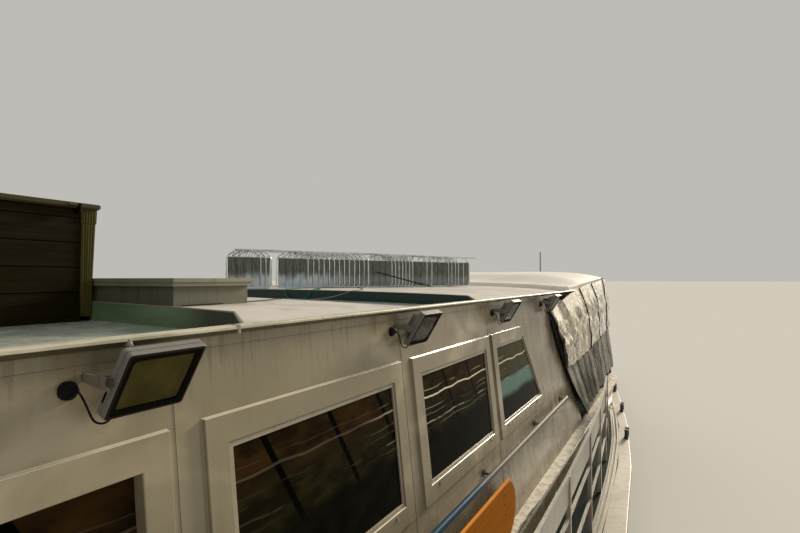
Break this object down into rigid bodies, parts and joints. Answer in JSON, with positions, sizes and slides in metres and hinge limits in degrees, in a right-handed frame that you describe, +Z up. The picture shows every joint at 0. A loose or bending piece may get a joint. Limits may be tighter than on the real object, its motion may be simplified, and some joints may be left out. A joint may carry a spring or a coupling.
{
  "type": "stern-wheel passenger paddle steamer",
  "caption": "River passenger steamer with a long low saloon, bow canopy with hung tarpaulins, wheelhouse, hinged funnel and a stern paddle wheel.",
  "frame": {"origin": "on the centreline at the waterline, below the roof's middle length", "axes": "+X to the bow, +Y to port, +Z up"},
  "size_m": [37.3932, 8.6, 8.265],
  "materials": {
    "hull_paint": "semi-gloss, weathered",
    "deck_paint": "matt deck paint",
    "guard_paint": "worn gloss",
    "cream_gloss": "gloss, streaked",
    "dark_glass": "dark, reflecting",
    "roof_paint": "matt, dirty",
    "trim_paint": "worn gloss",
    "canopy_paint": "semi-gloss",
    "dark_planks": "oiled and weathered",
    "brown_wood": "varnished",
    "hatch_grey": "worn satin",
    "bare_aluminium": "satin",
    "frame_steel": "satin",
    "tarpaulin_cloth": "matt, creased",
    "handrail_blue": "satin, worn to pale steel",
    "varnished_board": "gloss varnish",
    "lamp_grey": "satin",
    "rail_white": "worn gloss",
    "red_oxide": "matt",
    "wheel_red": "worn satin",
    "funnel_black": "semi-gloss",
    "engine_grey": "matt",
    "bollard_iron": "painted, scuffed"
  },
  "bodies": {
    "boat": {"hull": "hull_paint", "main_deck": "deck_paint", "guard_starboard": "guard_paint", "guard_port": "guard_paint", "side_wall_starboard": "cream_gloss", "side_wall_port": "cream_gloss", "aft_bulkhead": "cream_gloss", "windscreen_frame": "cream_gloss", "foredeck_coaming": "cream_gloss", "wheelhouse": "cream_gloss", "side_glass_starboard": "dark_glass", "side_glass_port": "dark_glass", "windscreen_glass": "dark_glass", "wheelhouse_glass_fore": "dark_glass", "wheelhouse_glass_aft": "dark_glass", "roof": "roof_paint", "roof_trim_starboard": "trim_paint", "roof_trim_port": "trim_paint", "bow_canopy": "canopy_paint", "wheelhouse_roof": "canopy_paint", "jackstaff": "canopy_paint", "companion_casing": "dark_planks", "companion_stair": "brown_wood", "helm_stand": "brown_wood", "hatch_box": "hatch_grey", "deck_chairs": "bare_aluminium", "canopy_frame": "frame_steel", "tarpaulin_starboard": "tarpaulin_cloth", "tarpaulin_port": "tarpaulin_cloth", "handrail_starboard": "handrail_blue", "handrail_port": "handrail_blue", "name_board": "varnished_board", "floodlights_starboard": "lamp_grey", "floodlights_port": "lamp_grey", "side_rail_starboard": "rail_white", "side_rail_port": "rail_white", "stern_rail": "rail_white", "wheel_beam_starboard": "red_oxide", "wheel_beam_port": "red_oxide", "funnel_base": "funnel_black", "boiler_block": "engine_grey", "bow_bollards_starboard": "bollard_iron", "bow_bollards_port": "bollard_iron"},
    "paddle_wheel": {"paddle_wheel": "wheel_red"},
    "helm_wheel": {"helm_wheel": "brown_wood"},
    "hatch_lid": {"hatch_lid": "hatch_grey"},
    "signal_mast": {"signal_mast": "rail_white"},
    "funnel": {"funnel": "funnel_black"},
    "rudder_starboard": {"rudder_starboard": "red_oxide"},
    "rudder_port": {"rudder_port": "red_oxide"},
    "saloon_door_starboard": {"saloon_door_starboard": "brown_wood"},
    "saloon_door_port": {"saloon_door_port": "brown_wood"},
    "wheelhouse_door_starboard": {"wheelhouse_door_starboard": "brown_wood"},
    "wheelhouse_door_port": {"wheelhouse_door_port": "brown_wood"},
    "boarding_gate_starboard": {"boarding_gate_starboard": "rail_white"},
    "boarding_gate_port": {"boarding_gate_port": "rail_white"},
    "companion_lid_starboard": {"companion_lid_starboard": "dark_planks"},
    "companion_lid_port": {"companion_lid_port": "dark_planks"}
  },
  "joints": [
    {"name": "paddle_wheel_turn", "type": "hinge", "parent": "boat", "child": "paddle_wheel", "pos_m": [-17.6, 0, 1.45], "axis": [0, 1, 0], "continuous": true},
    {"name": "rudder_starboard_turn", "type": "hinge", "parent": "boat", "child": "rudder_starboard", "pos_m": [-15.55, -1.5, 0], "axis": [0, 0, 1], "range_deg": [-35, 35]},
    {"name": "rudder_port_turn", "type": "hinge", "parent": "boat", "child": "rudder_port", "pos_m": [-15.55, 1.5, 0], "axis": [0, 0, 1], "range_deg": [-35, 35]},
    {"name": "helm_wheel_turn", "type": "hinge", "parent": "boat", "child": "helm_wheel", "pos_m": [-7.9, 0, 4.56], "axis": [1, 0, 0], "range_deg": [-315, 315]},
    {"name": "saloon_door_starboard_turn", "type": "hinge", "parent": "boat", "child": "saloon_door_starboard", "pos_m": [-12.968, -0.67, 1.9], "axis": [0, 0, 1], "range_deg": [0, 88]},
    {"name": "wheelhouse_door_starboard_turn", "type": "hinge", "parent": "boat", "child": "wheelhouse_door_starboard", "pos_m": [-8.08, -1.08, 4.5], "axis": [0, 0, 1], "range_deg": [0, 88]},
    {"name": "boarding_gate_starboard_turn", "type": "hinge", "parent": "boat", "child": "boarding_gate_starboard", "pos_m": [-13.54, -3.313, 1.4], "axis": [0, 0, -1], "range_deg": [0, 90]},
    {"name": "companion_lid_starboard_turn", "type": "hinge", "parent": "boat", "child": "companion_lid_starboard", "pos_m": [-4.93, -1.442, 4.168], "axis": [1, 0, 0], "range_deg": [0, 100]},
    {"name": "saloon_door_port_turn", "type": "hinge", "parent": "boat", "child": "saloon_door_port", "pos_m": [-12.968, 0.67, 1.9], "axis": [0, 0, -1], "range_deg": [0, 88]},
    {"name": "wheelhouse_door_port_turn", "type": "hinge", "parent": "boat", "child": "wheelhouse_door_port", "pos_m": [-8.08, 1.08, 4.5], "axis": [0, 0, -1], "range_deg": [0, 88]},
    {"name": "boarding_gate_port_turn", "type": "hinge", "parent": "boat", "child": "boarding_gate_port", "pos_m": [-13.54, 3.313, 1.4], "axis": [0, 0, 1], "range_deg": [0, 90]},
    {"name": "companion_lid_port_turn", "type": "hinge", "parent": "boat", "child": "companion_lid_port", "pos_m": [-4.93, 1.442, 4.168], "axis": [-1, 0, 0], "range_deg": [0, 100]},
    {"name": "hatch_lid_turn", "type": "hinge", "parent": "boat", "child": "hatch_lid", "pos_m": [-3.138, 0, 3.679], "axis": [0, 1, 0], "range_deg": [0, 80]},
    {"name": "signal_mast_turn", "type": "hinge", "parent": "boat", "child": "signal_mast", "pos_m": [-8.39, 0, 5.855], "axis": [0, -1, 0], "range_deg": [0, 85]},
    {"name": "funnel_turn", "type": "hinge", "parent": "boat", "child": "funnel", "pos_m": [-11.65, 0, 3.98], "axis": [0, -1, 0], "range_deg": [0, 80]}
  ],
  "couplings": [
    {"joint": "rudder_port_turn", "follows": "rudder_starboard_turn", "ratio": 1},
    {"joint": "helm_wheel_turn", "follows": "rudder_starboard_turn", "ratio": 9}
  ]
}
